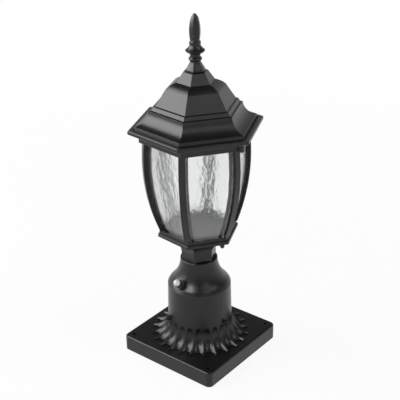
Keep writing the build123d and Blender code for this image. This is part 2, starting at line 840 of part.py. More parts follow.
with BuildPart() as pan_cap_nuts:
    with Locations(level(nut_hexagon_foot)):
        with Locations(*pan_nut_places):
            add(cap_nut.part)
pan_cap_nuts.part.label = "pan_cap_nuts"
export_step(pan_cap_nuts.part, "parts/pan_cap_nuts.step")

# ---- lamp module in the pan ---------------------------------------------------------------------

carrier_top = carrier_seat + carrier_thickness
board_top = carrier_top + board_thickness
slot_length = connector_length + fit_gap
slot_width = connector_width + fit_gap

with BuildPart() as led_carrier:
    with BuildSketch(level(carrier_seat)):
        Circle(carrier_radius)
        Rectangle(slot_length, slot_width, mode=Mode.SUBTRACT)
        with PolarLocations(carrier_screw_circle_diameter / 2, screw_trio, start_angle=180 / SIDES):
            Circle(carrier_screw_diameter / 2 + screw_gap, mode=Mode.SUBTRACT)
    extrude(amount=carrier_thickness)
led_carrier.part.label = "led_carrier"
export_step(led_carrier.part, "parts/led_carrier.step")

with BuildPart() as carrier_screws:
    with BuildSketch(level(carrier_top)):
        with PolarLocations(carrier_screw_circle_diameter / 2, screw_trio, start_angle=180 / SIDES):
            Circle(carrier_screw_head / 2)
    extrude(amount=carrier_screw_head_height)
    with BuildSketch(level(carrier_top)):
        with PolarLocations(carrier_screw_circle_diameter / 2, screw_trio, start_angle=180 / SIDES):
            Circle(carrier_screw_diameter / 2)
    extrude(amount=-carrier_thickness - carrier_screw_depth)
carrier_screws.part.label = "carrier_screws"
export_step(carrier_screws.part, "parts/carrier_screws.step")

with BuildPart() as led_board:
    with BuildSketch(level(carrier_top)):
        Circle(board_radius)
        Rectangle(slot_length, slot_width, mode=Mode.SUBTRACT)
    extrude(amount=board_thickness)
led_board.part.label = "led_board"
export_step(led_board.part, "parts/led_board.step")

with BuildPart() as led_chips:
    with BuildSketch(level(board_top)):
        with PolarLocations(chip_circle_diameter / 2, chip_count):
            Rectangle(chip_side, chip_side)
    extrude(amount=chip_height)
led_chips.part.label = "led_chips"
export_step(led_chips.part, "parts/led_chips.step")

with BuildPart() as led_driver:
    with BuildSketch(level(carrier_seat)):
        Rectangle(driver_length, driver_width)
    extrude(amount=-driver_height)
    fillet(led_driver.edges().filter_by(Axis.Z), radius=driver_edge)
led_driver.part.label = "led_driver"
export_step(led_driver.part, "parts/led_driver.step")

with BuildPart() as led_connector:
    with BuildSketch(level(carrier_seat)):
        Rectangle(connector_length, connector_width)
    extrude(amount=board_top + connector_rise - carrier_seat)
led_connector.part.label = "led_connector"
export_step(led_connector.part, "parts/led_connector.step")

with BuildPart() as diffuser:
    with BuildSketch(Plane.XY.offset(diffuser_foot)):
        Circle(diffuser_radius)
    extrude(amount=diffuser_thickness)
diffuser.part.label = "diffuser"
export_step(diffuser.part, "parts/diffuser.step")

# ---- bottom rail and its screws -----------------------------------------------------------------

with BuildSketch() as rail_section:
    with BuildLine():
        Polyline(
            (rail_inside - rail_depth, rim_top),
            (rail_flat, rim_top),
            (rail_flat, rail_top),
            (rail_inside, rail_top),
            (rail_inside, rail_seat),
            (rail_inside - rail_depth, rail_seat),
            close=True,
        )
    make_face()

with BuildPart() as bottom_rail:
    add(hexagon_ring(rail_section.sketch))
    with BuildSketch(level(rim_top)):
        with Locations(*pan_nut_places):
            Circle(pan_stud_diameter / 2)
        with PolarLocations(post_foot, SIDES):
            Circle(post_screw_diameter / 2 + screw_gap)
    extrude(amount=rail_floor, mode=Mode.SUBTRACT)
bottom_rail.part.label = "bottom_rail"
export_step(bottom_rail.part, "parts/bottom_rail.step")

with BuildPart() as rail_screws:
    with BuildSketch(level(rim_top)):
        with PolarLocations(post_foot, SIDES):
            Circle(post_screw_head / 2)
    extrude(amount=-post_screw_head_height)
    with BuildSketch(level(rim_top)):
        with PolarLocations(post_foot, SIDES):
            Circle(post_screw_diameter / 2)
    extrude(amount=rail_floor + post_screw_depth)
rail_screws.part.label = "rail_screws"
export_step(rail_screws.part, "parts/rail_screws.step")

# ---- posts and panes ------------------------------------------------------------------------------

frame_shelf = cage_top + frame_shelf_height
web_radius = bow_radius - post_bar_thickness / 2
web_corner = bow_corner - post_bar_thickness / 2
web_thickness = web_corner - wing_face / FLAT
post_head = bow_point(wing_face / FLAT, bow_radius, cage_top)[0] + post_screw_inset

wing_section = bow_section(wing_face, pane_bow, post_wing_thickness, rail_seat, cage_top)
web_section = bow_section(
    web_corner, web_radius, web_thickness + post_wing_thickness / 2, rail_seat, cage_top
)
bar_section = bow_section(bow_corner, bow_radius, post_bar_thickness, rail_top, cage_top)

with BuildPart() as bar:
    with BuildSketch(upright(0)):
        add(bar_section)
    extrude(amount=post_bar_width / 2, both=True)
    chamfer(bar.faces().sort_by(SortBy.AREA)[-1].edges().group_by(SortBy.LENGTH)[-1], length=post_bar_edge)

with BuildPart() as post:
    add(bar.part)
    with BuildSketch(upright(0)):
        add(web_section)
    extrude(amount=post_web_thickness / 2, both=True)
    add(hexagon_corner(wing_section, post_wing_reach))
    with BuildSketch(level(rail_seat)):
        Circle(far)
        RegularPolygon(rail_inside - fit_gap, SIDES, major_radius=False, mode=Mode.SUBTRACT)
    extrude(amount=rail_top - rail_seat, mode=Mode.SUBTRACT)
    with BuildSketch(level(cage_top)):
        with Locations((post_head, 0)):
            Circle(post_screw_diameter / 2)
    extrude(amount=-post_screw_depth, mode=Mode.SUBTRACT)
    with BuildSketch(level(rail_seat)):
        with Locations((post_foot, 0)):
            Circle(post_screw_diameter / 2)
    extrude(amount=post_screw_depth, mode=Mode.SUBTRACT)

pane_foot = rail_seat + pane_gap
pane_head = cage_top + pane_bite
pane_section = bow_section(pane_face, pane_bow, pane_thickness, pane_foot, pane_head)
pane = hexagon_side(pane_section, pane_margin)

for number in range(SIDES):
    turn = number * 360 / SIDES
    copy = turned(post.part, turn)
    copy.label = f"post_{number + 1}"
    export_step(copy, f"parts/post_{number + 1}.step")
    glass = turned(pane, turn)
    glass.label = f"pane_{number + 1}"
    export_step(glass, f"parts/pane_{number + 1}.step")

# ---- top frame and its screws ---------------------------------------------------------------------

frame_foot = frame_foot_corner * FLAT
frame_head = frame_head_corner * FLAT
gutter_floor = cage_top + frame_gutter_floor
groove_top = pane_head + pane_gap
groove_outer = bow_point(pane_face, pane_bow, cage_top)[0] + pane_gap
groove_inner = bow_point(pane_face - pane_thickness, pane_bow - pane_thickness, pane_head)[0] - pane_gap

with BuildSketch() as frame_section:
    with BuildLine():
        outer_foot = Polyline(
            (frame_opening_flat, cage_top), (frame_foot, cage_top), (frame_foot, cage_top + frame_foot_rise)
        )
        cavetto = TangentArc(outer_foot @ 1, (frame_head, frame_top), tangent=(0, 1))
        Polyline(
            cavetto @ 1,
            (frame_wall_flat, frame_top),
            (frame_wall_flat, gutter_floor),
            (frame_gutter_flat, gutter_floor),
            (frame_gutter_flat, frame_shelf),
            (frame_opening_flat, frame_shelf),
            outer_foot @ 0,
        )
    make_face()

with BuildSketch() as groove_section:
    with BuildLine():
        Polyline(
            (groove_inner, cage_top),
            (groove_outer, cage_top),
            (groove_outer, groove_top),
            (groove_inner, groove_top),
            close=True,
        )
    make_face()
groove = hexagon_side(groove_section.sketch, pane_margin - pane_gap)

spigot_outer = frame_wall_flat - roof_spigot_gap
spigot_inner = spigot_outer - roof_spigot_wall
roof_screw_recess = roof_screw_head_height + seat_gap

with BuildPart() as roof_boss:
    with BuildSketch(level(cage_top)):
        with Locations((roof_boss_corner, 0)):
            Circle(roof_boss_diameter / 2)
    extrude(amount=frame_height)
    with BuildSketch(level(gutter_floor)):
        RegularPolygon(frame_wall_flat, SIDES, major_radius=False)
    extrude(amount=frame_height, mode=Mode.SUBTRACT)

with BuildPart() as top_frame:
    add(hexagon_ring(frame_section.sketch))
    with PolarLocations(0, len(roof_screw_turns)):
        add(roof_boss.part)
    with PolarLocations(0, SIDES):
        add(groove, mode=Mode.SUBTRACT)
    with BuildSketch(level(frame_shelf)):
        with PolarLocations(post_head, SIDES):
            Circle(post_screw_diameter / 2 + screw_gap)
    extrude(amount=-frame_shelf_height, mode=Mode.SUBTRACT)
    with BuildSketch(level(cage_top)):
        with PolarLocations(roof_boss_corner, len(roof_screw_turns)):
            Circle(roof_screw_diameter / 2 + screw_gap)
    extrude(amount=frame_height, mode=Mode.SUBTRACT)
    with BuildSketch(level(cage_top)):
        with PolarLocations(roof_boss_corner, len(roof_screw_turns)):
            Circle(roof_screw_head / 2 + fit_gap)
    extrude(amount=roof_screw_recess, mode=Mode.SUBTRACT)
top_frame.part.label = "top_frame"
export_step(top_frame.part, "parts/top_frame.step")

with BuildPart() as frame_screws:
    with BuildSketch(level(frame_shelf)):
        with PolarLocations(post_head, SIDES):
            Circle(post_screw_head / 2)
    extrude(amount=post_screw_head_height)
    with BuildSketch(level(frame_shelf)):
        with PolarLocations(post_head, SIDES):
            Circle(post_screw_diameter / 2)
    extrude(amount=-frame_shelf_height - post_screw_depth)
frame_screws.part.label = "frame_screws"
export_step(frame_screws.part, "parts/frame_screws.step")

# ---- roof and its two screws ------------------------------------------------------------------------

lip_top = frame_top + lip_height
lip_flat = lip_corner * FLAT
spigot_foot = gutter_floor + fit_gap


def on_roof(point):
    """A point of the roof's section: flat half width and height."""
    return (point[0] * FLAT, frame_top + point[1])


def in_roof(point):
    """The point inside the roof's wall that lies behind one outside."""
    return (point[0] * FLAT - roof_wall, frame_top + point[1] - roof_wall)


with BuildSketch() as roof_section:
    with BuildLine():
        crown = Polyline((0, roof_crown), on_roof(roof_top), on_roof(roof_cap_foot))
        shoulder = ThreePointArc(crown @ 1, on_roof(roof_shoulder_middle), on_roof(roof_shoulder_foot))
        steps = Polyline(
            shoulder @ 1,
            on_roof(roof_slope_foot),
            on_roof(roof_ledge_end),
            on_roof(roof_band_foot),
            on_roof(roof_cove_top),
        )
        cove = ThreePointArc(steps @ 1, on_roof(roof_cove_middle), on_roof(roof_cove_foot))
        lip = Polyline(
            cove @ 1,
            on_roof(roof_strip_foot),
            (roof_strip_foot[0] * FLAT, lip_top - lip_groove_depth),
            (roof_strip_foot[0] * FLAT + lip_groove_width, lip_top - lip_groove_depth),
            (roof_strip_foot[0] * FLAT + lip_groove_width, lip_top),
            (lip_flat - lip_edge, lip_top),
            (lip_flat, lip_top - lip_edge),
            (lip_flat, frame_top + lip_edge),
            (lip_flat - lip_edge, frame_top),
            (spigot_outer, frame_top),
            (spigot_outer, spigot_foot),
            (spigot_inner, spigot_foot),
            (spigot_inner, in_roof(roof_cove_middle)[1] - roof_wall),
            in_roof(roof_cove_middle),
            in_roof(roof_cove_top),
            in_roof(roof_slope_foot),
            in_roof(roof_shoulder_foot),
            in_roof(roof_cap_foot),
            in_roof(roof_top),
            (0, roof_crown - roof_wall),
            (0, roof_crown),
        )
    make_face()

with BuildPart() as roof:
    add(hexagon_ring(roof_section.sketch))
    with BuildSketch(Plane.XY.offset(roof_crown)):
        Circle(finial_stud_diameter / 2 + screw_gap)
    extrude(amount=-2 * roof_wall, mode=Mode.SUBTRACT)
    with BuildSketch(level(frame_top)):
        with PolarLocations(roof_boss_corner, len(roof_screw_turns)):
            Circle(roof_screw_diameter / 2 + screw_gap)
    extrude(amount=roof_screw_bite + tip_gap, mode=Mode.SUBTRACT)
roof.part.label = "roof"
export_step(roof.part, "parts/roof.step")

roof_screw_foot = cage_top + seat_gap
roof_screw_shoulder = roof_screw_foot + roof_screw_head_height

with BuildPart() as roof_screw:
    with BuildSketch(level(roof_screw_foot)):
        with Locations((roof_boss_corner, 0)):
            Circle(roof_screw_head / 2)
    extrude(amount=roof_screw_head_height)
    with BuildSketch(level(roof_screw_shoulder)):
        with Locations((roof_boss_corner, 0)):
            Circle(roof_screw_diameter / 2)
    extrude(amount=frame_top + roof_screw_bite - roof_screw_shoulder)
    with BuildSketch(level(roof_screw_foot)):
        with Locations((roof_boss_corner, 0)):
            Rectangle(roof_screw_head, roof_screw_slot)
    extrude(amount=roof_screw_slot, mode=Mode.SUBTRACT)

for number, turn in enumerate(roof_screw_turns):
    copy = turned(roof_screw.part, turn)
    copy.label = f"roof_screw_{number + 1}"
    export_step(copy, f"parts/roof_screw_{number + 1}.step")

# ---- finial, its washer, stud and nut -----------------------------------------------------------------

stud_radius = finial_stud_diameter / 2
finial_underside = washer_top + seat_gap
nut_top = roof_crown - roof_wall
stud_foot = nut_top - finial_nut_thickness - finial_stud_end

with BuildPart() as finial_washer:
    with BuildSketch(level(roof_crown)):
        RegularPolygon(finial_washer_corner, SIDES)
        Circle(stud_radius + screw_gap, mode=Mode.SUBTRACT)
    extrude(amount=finial_washer_thickness)
finial_washer.part.label = "finial_washer"
export_step(finial_washer.part, "parts/finial_washer.step")

with BuildPart() as finial_nut:
    with BuildSketch(level(nut_top)):
        RegularPolygon(finial_nut_flats / 2, SIDES, major_radius=False)
        Circle(stud_radius + thread_gap, mode=Mode.SUBTRACT)
    extrude(amount=-finial_nut_thickness)
finial_nut.part.label = "finial_nut"
export_step(finial_nut.part, "parts/finial_nut.step")

with BuildPart() as finial_stud:
    with BuildSketch(Plane.XY.offset(stud_foot)):
        Circle(stud_radius)
    extrude(amount=finial_stud_length)
    chamfer(finial_stud.edges().sort_by(Axis.Z)[0], length=screw_chamfer)
finial_stud.part.label = "finial_stud"
export_step(finial_stud.part, "parts/finial_stud.step")


def on_finial(point):
    """A point of the finial's section: flat half width and height."""
    return (point[0] * FLAT, washer_top + point[1])


with BuildSketch() as finial_section:
    with BuildLine():
        foot_edge = Polyline(
            (0, finial_underside), (finial_foot[0] * FLAT, finial_underside), on_finial(finial_foot)
        )
        flare_arc = ThreePointArc(foot_edge @ 1, on_finial(finial_flare_middle), on_finial(finial_waist))
        waist = Line(flare_arc @ 1, on_finial(finial_waist_end))
        bead = ThreePointArc(waist @ 1, on_finial(finial_bead), on_finial(finial_neck))
        neck = Line(bead @ 1, on_finial(finial_neck_end))
        under_collar = ThreePointArc(
            neck @ 1, on_finial(finial_collar_under), on_finial(finial_collar_foot)
        )
        collar_edge = Line(under_collar @ 1, on_finial(finial_collar_edge))
        collar_arc = ThreePointArc(
            collar_edge @ 1, on_finial(finial_collar_middle), on_finial(finial_collar_head)
        )
        ring = Polyline(
            collar_arc @ 1,
            on_finial(finial_ring_foot),
            on_finial(finial_ring_head),
            on_finial(finial_bud_foot),
        )
        bud = ThreePointArc(ring @ 1, on_finial(finial_bud_widest), on_finial(finial_bud_shoulder))
        Polyline(
            bud @ 1,
            on_finial(finial_tip),
            (0, washer_top + finial_tip[1]),
            foot_edge @ 0,
        )
    make_face()

with BuildPart() as finial:
    add(hexagon_ring(finial_section.sketch))
    with BuildSketch(Plane.XY.offset(finial_underside)):
        Circle(stud_radius)
    extrude(amount=stud_foot + finial_stud_length - finial_underside, mode=Mode.SUBTRACT)
finial.part.label = "finial"
export_step(finial.part, "parts/finial.step")
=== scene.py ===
"""Looks of a hexagonal post top lantern: a satin black casting with water glass panes."""

import json
from math import atan2, cos, pi, radians, sin, tan

import bmesh
import bpy
from mathutils import Matrix, Vector, noise


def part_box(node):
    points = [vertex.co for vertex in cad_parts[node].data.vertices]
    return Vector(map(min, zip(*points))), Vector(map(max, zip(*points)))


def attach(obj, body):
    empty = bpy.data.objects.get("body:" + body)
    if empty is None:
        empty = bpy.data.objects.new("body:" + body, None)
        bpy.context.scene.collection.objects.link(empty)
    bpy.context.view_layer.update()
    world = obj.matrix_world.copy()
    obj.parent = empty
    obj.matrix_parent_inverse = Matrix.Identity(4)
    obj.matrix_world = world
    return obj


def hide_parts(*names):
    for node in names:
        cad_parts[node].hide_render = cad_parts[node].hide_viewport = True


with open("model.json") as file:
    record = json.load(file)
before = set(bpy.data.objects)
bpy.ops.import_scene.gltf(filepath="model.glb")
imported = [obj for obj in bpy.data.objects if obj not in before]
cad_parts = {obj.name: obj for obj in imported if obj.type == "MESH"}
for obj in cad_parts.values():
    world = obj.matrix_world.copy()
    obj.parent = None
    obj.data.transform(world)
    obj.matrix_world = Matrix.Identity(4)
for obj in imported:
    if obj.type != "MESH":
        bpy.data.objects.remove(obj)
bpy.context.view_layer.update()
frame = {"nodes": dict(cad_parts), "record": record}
nodes = frame["nodes"]

MM = 0.001
UP = Vector((0, 0, 1))
SIDES = 6
SIDE_TURN = 2 * pi / SIDES
HEAD_TURN = radians(-6.25)           # of the lantern's first corner from +X

# ---- camera: the photograph's viewpoint -------------------------------------------------

FRAME_PX = 400
CAMERA_AZIMUTH = radians(39.05)
CAMERA_ELEVATION = radians(24.594)
CAMERA_ROLL = radians(-1.053)
CAMERA_DISTANCE = 1.161
CAMERA_AIM = Vector((0, 0, 0.25))
FOCAL_PX = 902.6
AXIS_PX = (197.53, 179.42)           # where the lens's axis meets the picture
SENSOR_MM = 36.0

# ---- colours, as sRGB ---------------------------------------------------------------------

POWDER_BLACK = "#0e0e0f"
POWDER_GREY = "#141415"
NYLON_BLACK = "#141415"
NYLON_SHADE = "#1c1c1d"
LENS_WHITE = "#dcdcd8"
LENS_SHADE = "#d0d0cb"
GLASS_TINT = "#f5f6f6"
# grey of the frosted cover and its second tone: the cover's own pale grey darkened with painted shade
# for the shade inside the lantern
FROSTED_GREY_WITH_PAINTED_SHADE = "#5c5c5c"
FROSTED_TONE_WITH_PAINTED_SHADE = "#565656"
ZINC = "#a9aaa8"
ZINC_SHADE = "#7d7e7d"
BLACKENED = "#161617"
BLACKENED_SHADE = "#2a2a2b"
SHEET_ALUMINIUM = "#c9cacc"
SHEET_SHADE = "#b7b8ba"
BOARD_WHITE = "#e9eae8"
BOARD_SHADE = "#dddedc"
PHOSPHOR = "#e6cf5c"
PHOSPHOR_SHADE = "#dcc24c"
CASE_WHITE = "#dcdcd8"
CASE_SHADE = "#d2d2cd"
SHEATH = "#1a1a1b"
SHEATH_SHADE = "#232324"
BACKDROP = "#fafafa"


# ---- helpers ------------------------------------------------------------------------------

def linear(colour):
    """sRGB hex to a linear colour with full alpha."""
    parts = [int(colour[at:at + 2], 16) / 255 for at in (1, 3, 5)]
    return [p / 12.92 if p <= 0.04045 else ((p + 0.055) / 1.055) ** 2.4 for p in parts] + [1.0]


def ramp_up(value, start, end):
    """0 before the start, 1 past the end and even between."""
    return min(1.0, max(0.0, (value - start) / (end - start)))


def direction(azimuth, elevation):
    """Which way a camera or lamp lies, seen from the lantern: azimuth 0 is -Y and 90 degrees is +X."""
    return Vector((
        sin(azimuth) * cos(elevation),
        -cos(azimuth) * cos(elevation),
        sin(elevation),
    ))


def per_size(size_mm):
    """Scale of a noise whose grains measure that many millimetres."""
    return 1 / (size_mm * MM)


def add_node(tree, kind, inputs=None, **settings):
    """A node with its settings, and with each input set or linked."""
    made = tree.nodes.new(kind)
    for name, value in settings.items():
        setattr(made, name, value)
    for socket, value in (inputs or {}).items():
        if isinstance(value, bpy.types.NodeSocket):
            tree.links.new(value, made.inputs[socket])
        else:
            made.inputs[socket].default_value = value
    return made


def new_material(name):
    """An empty material, its node tree and the coordinates of the piece."""
    material = bpy.data.materials.new(name)
    material.use_nodes = True
    tree = material.node_tree
    tree.nodes.clear()
    place = add_node(tree, "ShaderNodeTexCoord").outputs["Object"]
    return material, tree, place


def finish_material(tree, shader):
    """Send a shader to the material's output."""
    add_node(tree, "ShaderNodeOutputMaterial", {"Surface": shader.outputs[0]})


PATCH_DETAIL = 3.0
PATCH_EDGES = (0.38, 0.62)           # of the noise, between which one tone turns into the other
GRAIN_DETAIL = 2.0


def two_tones(tree, place, first, second, size_mm):
    """Two colours that drift into each other over patches of that size."""
    patches = add_node(
        tree, "ShaderNodeTexNoise",
        {"Vector": place, "Scale": per_size(size_mm), "Detail": PATCH_DETAIL},
    )
    ramp = add_node(tree, "ShaderNodeValToRGB", {"Fac": patches.outputs["Fac"]})
    for stop, edge, colour in zip(ramp.color_ramp.elements, PATCH_EDGES, (first, second)):
        stop.position = edge
        stop.color = linear(colour)
    return ramp.outputs["Color"]


def bumps(tree, place, size_mm, height_mm, strength=1.0, normal=None):
    """Bump of grains of one size and height."""
    grains = add_node(
        tree, "ShaderNodeTexNoise",
        {"Vector": place, "Scale": per_size(size_mm), "Detail": GRAIN_DETAIL},
    )
    inputs = {"Height": grains.outputs["Fac"], "Distance": height_mm * MM, "Strength": strength}
    if normal is not None:
        inputs["Normal"] = normal
    return add_node(tree, "ShaderNodeBump", inputs).outputs["Normal"]


# ---- materials ------------------------------------------------------------------------------
# The finest grains of coats, mouldings and plating are drawn at 0.4 to 0.8 mm, coarser than the
# real ones, because finer ones wouldn't show.

COAT_EDGE = 0.6 * MM                 # radius that the coat gives to the castings' sharp edges
UPRIGHT_RUNS = (1, 1, 0.4)           # shares of the pattern's frequency: drawn out along Z
ROLLING_LINES = (1, 14, 1)           # closer together across the rolling than along it


def powder_coat():
    """Cast aluminium under satin polyester powder coat: near black, with a fine orange peel."""
    material, tree, place = new_material("satin_black_powder_coat")
    soft_edge = add_node(tree, "ShaderNodeBevel", {"Radius": COAT_EDGE}, samples=4)
    edge_normal = soft_edge.outputs["Normal"]
    peel = bumps(tree, place, size_mm=2.2, height_mm=0.03, strength=0.55, normal=edge_normal)
    grain = bumps(tree, place, size_mm=0.7, height_mm=0.012, strength=0.5, normal=peel)
    shader = add_node(tree, "ShaderNodeBsdfPrincipled", {
        "Base Color": two_tones(tree, place, POWDER_BLACK, POWDER_GREY, size_mm=24),
        "Roughness": 0.32,
        "Normal": grain,
        "IOR": 1.42,
    })
    finish_material(tree, shader)
    return material


def water_glass():
    """Pressed water glass: clear, its outer face rippled in long upright runs."""
    material, tree, place = new_material("water_glass")
    upright = add_node(tree, "ShaderNodeMapping", {"Vector": place, "Scale": UPRIGHT_RUNS})
    shader = add_node(tree, "ShaderNodeBsdfPrincipled", {
        "Base Color": linear(GLASS_TINT),
        "Roughness": 0.16,
        "IOR": 1.5,
        "Transmission Weight": 1.0,
        "Normal": bumps(tree, upright.outputs[0], size_mm=1.5, height_mm=0.14),
    })
    clear = add_node(tree, "ShaderNodeBsdfTransparent", {"Color": linear(GLASS_TINT)})
    path = add_node(tree, "ShaderNodeLightPath")
    shaded = add_node(tree, "ShaderNodeMixShader", {
        0: path.outputs["Is Shadow Ray"], 1: shader.outputs[0], 2: clear.outputs[0],
    })
    finish_material(tree, shaded)
    return material


def frosted_acrylic():
    """Frosted acrylic cover of the unlit lamp: dull, an even grey that is its own pale grey darkened
    with painted shade for the shade inside the lantern.
    """
    material, tree, place = new_material("frosted_acrylic")
    shader = add_node(tree, "ShaderNodeBsdfPrincipled", {
        # the cover's two tones hold painted shade: they are darker than the cover's own pale grey
        "Base Color": two_tones(tree, place, FROSTED_GREY_WITH_PAINTED_SHADE, FROSTED_TONE_WITH_PAINTED_SHADE, size_mm=18),
        "Roughness": 0.6,
        "Normal": bumps(tree, place, size_mm=0.6, height_mm=0.01, strength=0.5),
        "IOR": 1.49,
        "Subsurface Weight": 0.2,
        "Subsurface Scale": 2 * MM,
    })
    finish_material(tree, shader)
    return material


def lens_plastic():
    """Milky polycarbonate lens of the dusk sensor: white and glossy."""
    material, tree, place = new_material("milky_polycarbonate")
    shader = add_node(tree, "ShaderNodeBsdfPrincipled", {
        "Base Color": two_tones(tree, place, LENS_WHITE, LENS_SHADE, size_mm=4),
        "Roughness": 0.22,
        "IOR": 1.58,
        "Subsurface Weight": 0.15,
        "Subsurface Scale": 1.5 * MM,
    })
    finish_material(tree, shader)
    return material


def nylon():
    """Moulded black nylon with a spark-eroded grain: dull and even."""
    material, tree, place = new_material("moulded_black_nylon")
    shader = add_node(tree, "ShaderNodeBsdfPrincipled", {
        "Base Color": two_tones(tree, place, NYLON_BLACK, NYLON_SHADE, size_mm=5),
        "Roughness": 0.5,
        "Normal": bumps(tree, place, size_mm=0.5, height_mm=0.02, strength=0.6),
        "IOR": 1.53,
    })
    finish_material(tree, shader)
    return material


def zinc_plate():
    """Zinc plated steel: pale grey metal with a faint mottled brightness."""
    material, tree, place = new_material("zinc_plated_steel")
    shader = add_node(tree, "ShaderNodeBsdfPrincipled", {
        "Base Color": two_tones(tree, place, ZINC, ZINC_SHADE, size_mm=1.6),
        "Metallic": 1.0,
        "Roughness": 0.34,
        "Normal": bumps(tree, place, size_mm=0.4, height_mm=0.01, strength=0.5),
    })
    finish_material(tree, shader)
    return material


def blackened_steel():
    """Blackened steel of the visible screws: a little more metallic than the castings' coat."""
    material, tree, place = new_material("blackened_steel")
    shader = add_node(tree, "ShaderNodeBsdfPrincipled", {
        "Base Color": two_tones(tree, place, BLACKENED, BLACKENED_SHADE, size_mm=1.5),
        "Metallic": 0.3,
        "Roughness": 0.34,
        "Normal": bumps(tree, place, size_mm=0.4, height_mm=0.01, strength=0.5),
    })
    finish_material(tree, shader)
    return material


def sheet_aluminium():
    """Mill finish aluminium sheet with faint rolling lines."""
    material, tree, place = new_material("mill_finish_aluminium")
    lines = add_node(tree, "ShaderNodeMapping", {"Vector": place, "Scale": ROLLING_LINES}).outputs[0]
    shader = add_node(tree, "ShaderNodeBsdfPrincipled", {
        "Base Color": two_tones(tree, lines, SHEET_ALUMINIUM, SHEET_SHADE, size_mm=6),
        "Metallic": 1.0,
        "Roughness": 0.38,
        "Normal": bumps(tree, lines, size_mm=2.0, height_mm=0.01, strength=0.4),
    })
    finish_material(tree, shader)
    return material


def solder_mask():
    """White solder mask on the LED board: smooth and slightly glossy."""
    material, tree, place = new_material("white_solder_mask")
    shader = add_node(tree, "ShaderNodeBsdfPrincipled", {
        "Base Color": two_tones(tree, place, BOARD_WHITE, BOARD_SHADE, size_mm=9),
        "Roughness": 0.35,
        "Normal": bumps(tree, place, size_mm=0.8, height_mm=0.005, strength=0.5),
    })
    finish_material(tree, shader)
    return material


def phosphor():
    """Silicone with phosphor over each LED chip: yellow and slightly milky."""
    material, tree, place = new_material("phosphor_silicone")
    shader = add_node(tree, "ShaderNodeBsdfPrincipled", {
        "Base Color": two_tones(tree, place, PHOSPHOR, PHOSPHOR_SHADE, size_mm=0.8),
        "Roughness": 0.4,
        "Subsurface Weight": 0.3,
        "Subsurface Scale": 0.5 * MM,
    })
    finish_material(tree, shader)
    return material


def case_plastic():
    """Moulded ABS case of the driver and its connector: off-white, with a fine mould grain."""
    material, tree, place = new_material("moulded_white_abs")
    shader = add_node(tree, "ShaderNodeBsdfPrincipled", {
        "Base Color": two_tones(tree, place, CASE_WHITE, CASE_SHADE, size_mm=8),
        "Roughness": 0.45,
        "Normal": bumps(tree, place, size_mm=0.4, height_mm=0.02, strength=0.5),
    })
    finish_material(tree, shader)
    return material


def sheath_rubber():
    """Soft PVC sheath of the sensor's lead: near black and dull."""
    material, tree, place = new_material("soft_pvc_sheath")
    shader = add_node(tree, "ShaderNodeBsdfPrincipled", {
        "Base Color": two_tones(tree, place, SHEATH, SHEATH_SHADE, size_mm=3),
        "Roughness": 0.55,
        "Normal": bumps(tree, place, size_mm=0.6, height_mm=0.01, strength=0.5),
    })
    finish_material(tree, shader)
    return material


FINISHES = {
    "black_paint": powder_coat(),
    "black_screw": blackened_steel(),
    "zinc_steel": zinc_plate(),
    "water_glass": water_glass(),
    "black_nylon": nylon(),
    "white_lens": lens_plastic(),
    "opal_plastic": frosted_acrylic(),
    "bare_aluminium": sheet_aluminium(),
    "white_board": solder_mask(),
    "chip_yellow": phosphor(),
    "driver_case": case_plastic(),
    "lead_sheath": sheath_rubber(),
}
BLACKENED_FASTENERS = ("set_screw_1", "set_screw_2", "set_screw_3", "pan_studs")


def wear(piece, material):
    """Give a piece one material in place of whatever it holds."""
    piece.data.materials.clear()
    piece.data.materials.append(material)


for part in frame["record"]["subparts"]:
    wear(nodes[part["node"]], FINISHES[part["material_slot"]])
for name in BLACKENED_FASTENERS:
    wear(nodes[name], FINISHES["black_screw"])


# ---- pieces that are finer than their solids ------------------------------------------------------

MERGE_DISTANCE = 0.001 * MM
FLAT_ANGLE = radians(0.3)
CREASE = radians(35)


def cad_copy(name):
    """A CAD node's mesh with its loose triangles merged into whole faces."""
    mesh = bmesh.new()
    mesh.from_mesh(nodes[name].data)
    mesh.transform(nodes[name].matrix_world)
    bmesh.ops.remove_doubles(mesh, verts=mesh.verts, dist=MERGE_DISTANCE)
    bmesh.ops.dissolve_limit(mesh, angle_limit=FLAT_ANGLE, verts=mesh.verts, edges=mesh.edges)
    return mesh


def cut(mesh, planes):
    """Cut the faces along planes, each a point and a normal."""
    for place, normal in planes:
        everything = mesh.verts[:] + mesh.edges[:] + mesh.faces[:]
        bmesh.ops.bisect_plane(mesh, geom=everything, plane_co=place, plane_no=normal)
    mesh.normal_update()


def stand_in(mesh, name, body, finish):
    """Make a finished mesh the piece that shows in place of a CAD node."""
    for face in mesh.faces:
        face.smooth = True
    for edge in mesh.edges:
        edge.smooth = edge.calc_face_angle(0) < CREASE
    data = bpy.data.meshes.new(f"fine_{name}")
    mesh.to_mesh(data)
    mesh.free()
    piece = bpy.data.objects.new(f"fine_{name}", data)
    bpy.context.scene.collection.objects.link(piece)
    wear(piece, FINISHES[finish])
    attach(piece, body)
    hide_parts(name)


# ---- panes of water glass -------------------------------------------------------------------------

GRID_ACROSS = 1.1 * MM
GRID_UP = 1.6 * MM
PANE_REACH = 36 * MM                 # half of the stretch across that is cut
PANE_INSET = 3.5 * MM                # of a pane's edges from the lantern's corners
FACING_OUT = 0.8                     # least cosine between a point's normal and the pane's
RIPPLE_DEPTH = 0.4 * MM
RIPPLE_FADE = 2.5 * MM               # along the edges, which the posts and rails hold
RIPPLE_MIDDLE = 0.5                  # share of the depth that the runs rise and fall about
BROAD_SHARE = 0.6
FINE_SHARE = 0.45
BROAD_RUN = (4.6 * MM, 12 * MM)      # width and height of a broad run
FINE_RUN = (2.4 * MM, 5 * MM)
SWAY_RUN = (16 * MM, 20 * MM)
SWAY = 2.2 * MM                      # of the runs to each side
SEED_STEP = 17.3                     # between one pane's noise and the next one's


def runs(across, up, run, seed):
    """Noise about 0 whose waves measure a run's width and height."""
    return noise.noise(Vector((across / run[0], up / run[1], seed)))


